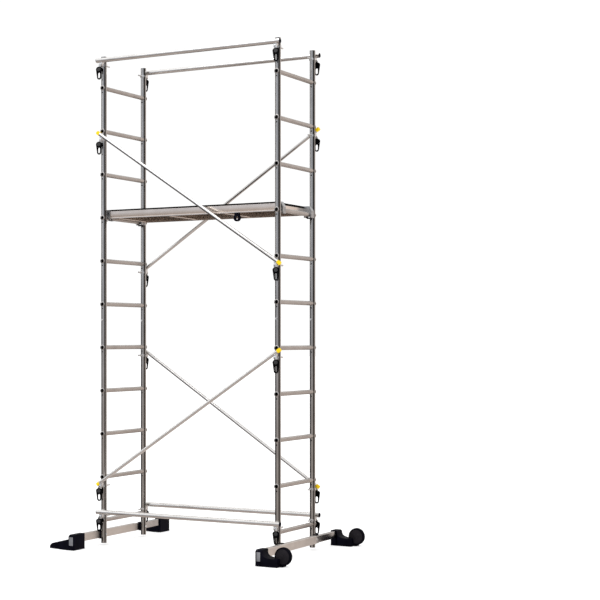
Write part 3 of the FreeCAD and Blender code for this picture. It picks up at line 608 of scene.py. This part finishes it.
# (outwards, radius): a plug pushed into the tube, and a ribbed cap over it
PLUG_SECTION = ((-0.018, 0.0), (-0.018, 0.0122), (-0.0002, 0.0132), (0.0, 0.0150), (0.0014, 0.0150),
                (0.0026, 0.0140), (0.0030, 0.0120), (0.0030, 0.0085), (0.0016, 0.0075), (0.0016, 0.0))
CAP_SECTION = ((-0.0210, 0.0111), (-0.0210, 0.0120), (-0.0200, 0.0124), (-0.0150, 0.0124), (-0.0145, 0.0119),
               (-0.0125, 0.0119), (-0.0120, 0.0124), (-0.0095, 0.0124), (-0.0090, 0.0119), (-0.0070, 0.0119),
               (-0.0065, 0.0124), (0.0012, 0.0124), (0.0026, 0.0112), (0.0030, 0.0090), (0.0030, 0.0001),
               (0.0002, 0.0001), (0.0002, 0.0111))
RISING = ("front_lower_diagonal", "rear_upper_diagonal")


def make_caps():
    plugs, covers = bmesh.new(), bmesh.new()
    for name in sorted(NODES):
        if name.endswith("rail"):
            lo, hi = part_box(name)
            y, z = (lo[1] + hi[1]) / 2, (lo[2] + hi[2]) / 2
            for x, s in ((lo[0], -1), (hi[0], 1)):
                turned(plugs, PLUG_SECTION, (x, y, z), (s, 0, 0), 40)
        elif name.endswith("diagonal"):
            lo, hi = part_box(name)
            y = (lo[1] + hi[1]) / 2
            up = 1 if name in RISING else -1
            run = Vector((hi[0] - lo[0], 0, (hi[2] - lo[2]) * up))
            # the box is a tube's radius wider than its axis at each corner
            along = run.normalized()
            for _ in range(3):
                trim = Vector((DIAGONAL_D * abs(along.z), 0, DIAGONAL_D * abs(along.x) * up))
                along = (run - trim).normalized()
            mid = Vector(((lo[0] + hi[0]) / 2, y, (lo[2] + hi[2]) / 2))
            half = (run - trim).length / 2
            for s in (-1, 1):
                turned(covers, CAP_SECTION, mid + along * (half * s), along * s, 40)
    made("rail_plugs_moulded", plugs, BLACK, "tower", "black_plastic", "rail_end_plugs", sharp=32)
    made("diagonal_caps_moulded", covers, YELLOW, "tower", "yellow_plastic", "diagonal_end_caps", sharp=32)


# ------------------------------------------------------------ platform
# (inwards, up) round the side rail: beads, a flat band and a flute that leans in above the lower bead
RAIL_SECTION = ((0.0, 0.0), (0.0262, 0.0), (0.0262, 0.0025), (0.0037, 0.0025), (0.0037, 0.0435), (0.0262, 0.0435),
                (0.0262, 0.046), (0.0005, 0.046), (0.0, 0.0455), (0.0, 0.0405), (0.0005, 0.040), (0.0012, 0.040),
                (0.0012, 0.0185), (0.0032, 0.0075), (0.0008, 0.0062), (0.0, 0.0056))


def make_deck():
    lo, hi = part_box("deck_board")
    bm = bmesh.new()
    soften(bm, edges_of(bm, block(bm, lo, hi)), 0.0012, 2)
    made("deck_board_pressed", bm, BOARD, "tower", "deck_board", "deck_board")
    rlo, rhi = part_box("deck_side_rails")
    bm = bmesh.new()
    for s, y in ((-1, rlo[1]), (1, rhi[1])):
        bar(bm, [(y - s * a, rlo[2] + b) for a, b in RAIL_SECTION], rlo[0], rhi[0])
    made("deck_side_rails_extruded", bm, DECK_RAIL, "tower", "deck_aluminium", "deck_side_rails", sharp=20)
    hlo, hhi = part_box("deck_hooks")
    bm = bmesh.new()
    for sx, x in ((-1, hlo[0]), (1, hhi[0])):
        for sy, y in ((-1, hlo[1]), (1, hhi[1])):
            turned(bm, ((-0.001, 0.0), (-0.001, 0.0065), (0.0, 0.0068), (0.0002, 0.0030), (-0.0006, 0.0)),
                   (x - sx * 0.0005, y - sy * 0.018, hlo[2] + 0.034), (sx, 0, 0), 24)
            turned(bm, ((-0.001, 0.0), (-0.001, 0.0050), (0.0003, 0.0048), (0.0004, 0.0)),
                   (x - sx * 0.040, y - sy * 0.0003, hlo[2] + 0.048), (0, sy, 0), 20)
    made("deck_hook_bolts", bm, BLACK, "tower", "black_plastic")


finish_cad()
make_pins()
make_rungs()
make_feet()
make_wheels()
make_caps()
make_deck()

# ------------------------------------------------------------ floor, light, camera
scene = bpy.context.scene
bm = bmesh.new()
bmesh.ops.create_grid(bm, x_segments=1, y_segments=1, size=90.0)
floor_mesh = bpy.data.meshes.new("floor")
bm.to_mesh(floor_mesh)
bm.free()
floor = bpy.data.objects.new("floor", floor_mesh)
scene.collection.objects.link(floor)
fm = Mat("studio floor", Roughness=0.95)
fm.shader.inputs["Specular IOR Level"].default_value = 0.0
fm.colour(fm.grey(fm.noise(0.6, 2.0), 0.80, 0.82))
fm.shader.inputs["Emission Color"].default_value = (1.0, 1.0, 1.0, 1.0)
fm.shader.inputs["Emission Strength"].default_value = 0.42
floor_mesh.materials.append(fm.mat)
floor.visible_glossy = False

world = bpy.data.worlds.new("studio")
scene.world = world
world.use_nodes = True
room = world.node_tree
for n in list(room.nodes):
    room.nodes.remove(n)


def world_node(kind, *feeds, **values):
    """A node of the studio world, with its inputs fed in order and other inputs set by name."""
    n = room.nodes.new(kind)
    for i, out in enumerate(feeds):
        room.links.new(out, n.inputs[i])
    for key, value in values.items():
        n.inputs[key.replace("_", " ")].default_value = value
    return n


def world_ramp(source, stops):
    """Brightness by stops, each with its own tint from cool (1) to warm (-1)."""
    r = world_node("ShaderNodeValToRGB", source)
    while len(r.color_ramp.elements) < len(stops):
        r.color_ramp.elements.new(0.5)
    for e, (at, v, *tint) in zip(r.color_ramp.elements, stops):
        t = tint[0] if tint else 0.0
        e.position = at
        e.color = (v * (1 - 0.07 * t), v * (1 + 0.06 * min(t, 0.0)), v * (1 + 0.13 * t), 1.0)
    return r.outputs[0]


def world_mix(low, high, fac):
    m = world_node("ShaderNodeMix")
    m.data_type = "RGBA"
    for value, slot in ((fac, 0), (low, 6), (high, 7)):
        room.links.new(value, m.inputs[slot])
    return m.outputs[2]


# grey boards and black flags stand round the tower, a pale ceiling hangs over it
towards = world_node("ShaderNodeSeparateXYZ", world_node("ShaderNodeTexCoord").outputs["Generated"]).outputs
bearing = world_node("ShaderNodeMath", towards["Y"], towards["X"])
bearing.operation = "ARCTAN2"
whole_turn = world_node("ShaderNodeMapRange", bearing.outputs[0], From_Min=-math.pi, From_Max=math.pi)
around = whole_turn.outputs["Result"]
height = world_node("ShaderNodeMapRange", towards["Z"], From_Min=-1.0).outputs["Result"]
deep = world_ramp(around, ((0.0, 0.46, -1), (0.30, 0.52, -1), (0.50, 0.40, -1), (0.80, 0.52, -1), (1.0, 0.46, -1)))
below = world_ramp(around, ((0.0, 0.03, -1), (0.12, 0.04, -1), (0.17, 0.46, -0.7), (0.36, 0.48, -0.8),
                            (0.42, 0.05, -1.5), (0.53, 0.05, -1.5), (0.58, 0.55, -1), (0.80, 0.66, -1),
                            (0.84, 0.10, -1), (0.92, 0.03, -1)))
level = world_ramp(around, ((0.0, 0.08), (0.10, 0.22, 0.5), (0.16, 0.66, 0.8), (0.34, 0.52, 0.6), (0.39, 0.02, -1),
                            (0.54, 0.02, -1), (0.585, 0.62, -0.8), (0.78, 0.80, -0.8), (0.85, 0.16), (0.95, 0.04)))
above = world_ramp(around, ((0.0, 1.1), (0.50, 1.0), (0.62, 0.95), (0.80, 0.95), (1.0, 1.1)))
low_part = world_mix(deep, below, world_ramp(height, ((0.12, 0.0), (0.27, 1.0))))
lower_part = world_mix(low_part, level, world_ramp(height, ((0.47, 0.0), (0.515, 1.0))))
panorama = world_mix(lower_part, above, world_ramp(height, ((0.60, 0.0), (0.78, 1.0))))
mirrored = world_node("ShaderNodeBackground", panorama).outputs[0]
plain = world_node("ShaderNodeBackground", Color=(1.0, 1.0, 1.0, 1.0), Strength=1.05).outputs[0]
in_mirror = world_node("ShaderNodeLightPath").outputs["Is Glossy Ray"]
world_node("ShaderNodeOutputWorld", world_node("ShaderNodeMixShader", in_mirror, plain, mirrored).outputs[0])


def softbox(name, at, aim, size, power):
    light = bpy.data.lights.new(name, "AREA")
    light.shape = "RECTANGLE"
    light.size, light.size_y = size
    light.energy = power
    obj = bpy.data.objects.new(name, light)
    obj.location = at
    obj.rotation_euler = (Vector(aim) - Vector(at)).to_track_quat("-Z", "Y").to_euler()
    scene.collection.objects.link(obj)


softbox("overhead", (-0.6, -1.5, 6.5), (0, 0, 1.2), (3.0, 3.0), 70)
softbox("fill", (-6.0, -4.0, 3.5), (0, 0, 1.4), (2.0, 3.0), 25)

AZIMUTH = math.radians(28.962)
TILT = math.radians(-0.062)
DISTANCE = 9.348
SENSOR = 36.0
look = Vector((-math.sin(AZIMUTH), math.cos(AZIMUTH), 0))
cam_data = bpy.data.cameras.new("camera")
cam_data.sensor_width = SENSOR
cam_data.lens = 89.058
cam_data.shift_x = 0.071667
cam_data.shift_y = 0.066167
cam_data.clip_end = 200.0
cam = bpy.data.objects.new("camera", cam_data)
cam.location = Vector((0.3654, -0.0195, 1.3427)) - look * DISTANCE
aim = look * math.cos(TILT) + Vector((0, 0, math.sin(TILT)))
cam.rotation_euler = aim.to_track_quat("-Z", "Y").to_euler()
scene.collection.objects.link(cam)
scene.camera = cam
scene.view_settings.view_transform = "Standard"
